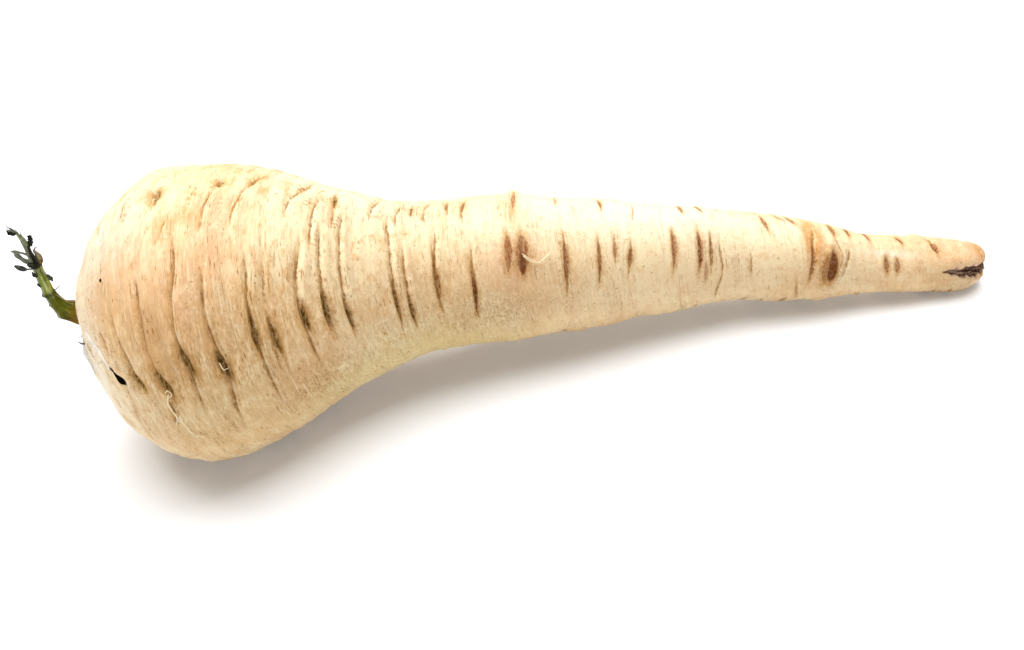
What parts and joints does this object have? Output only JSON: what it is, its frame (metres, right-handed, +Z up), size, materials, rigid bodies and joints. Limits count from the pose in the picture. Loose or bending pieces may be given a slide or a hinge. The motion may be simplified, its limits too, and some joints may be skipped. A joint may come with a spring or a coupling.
{
  "type": "parsnip",
  "caption": "Large parsnip lying on its side: a swollen pale root that tapers through a long neck to a broken tip, with a small wilted green shoot at its crown.",
  "frame": {"origin": "bottom centre of the parsnip's box, on the surface it lies on", "axes": "+X along the root from the crown to the tip, +Y across it, +Z up"},
  "size_m": [0.2456, 0.0656, 0.0642],
  "materials": {
    "root_skin": "cream to tan skin with a soft waxy sheen, fine cross wrinkles, brown lateral scars and specks",
    "shoot_green": "olive to yellow-green ribbed stalk, grey-green and fibrous higher up",
    "shoot_grey": "withered grey-green side stalks",
    "leaf_dark": "shrivelled leaflets gone nearly black",
    "bract_dry": "dry brown curled bracts",
    "scale_paper": "papery pale grey leaf bases on the crown's edge",
    "rootlet_pale": "pale curly threads"
  },
  "bodies": {
    "root": {"root": "root_skin", "shoot_stalk": "shoot_green", "side_stalk_upper": "shoot_grey", "side_stalk_lower": "shoot_grey", "leaf_stem_left": "shoot_grey", "leaf_stem_right": "shoot_grey", "leaflet_top": "leaf_dark", "leaflet_end": "leaf_dark", "leaflet_left": "leaf_dark", "leaflet_low_left": "leaf_dark", "leaflet_right": "leaf_dark", "leaflet_scrap": "leaf_dark", "bract_brown": "bract_dry", "bract_dark": "bract_dry", "bract_base": "bract_dry", "crown_scale_upper": "scale_paper", "crown_scale_middle": "scale_paper", "crown_scale_lower": "scale_paper", "rootlet_neck": "rootlet_pale", "rootlet_bulb": "rootlet_pale", "rootlet_shoulder": "rootlet_pale"}
  },
  "joints": []
}
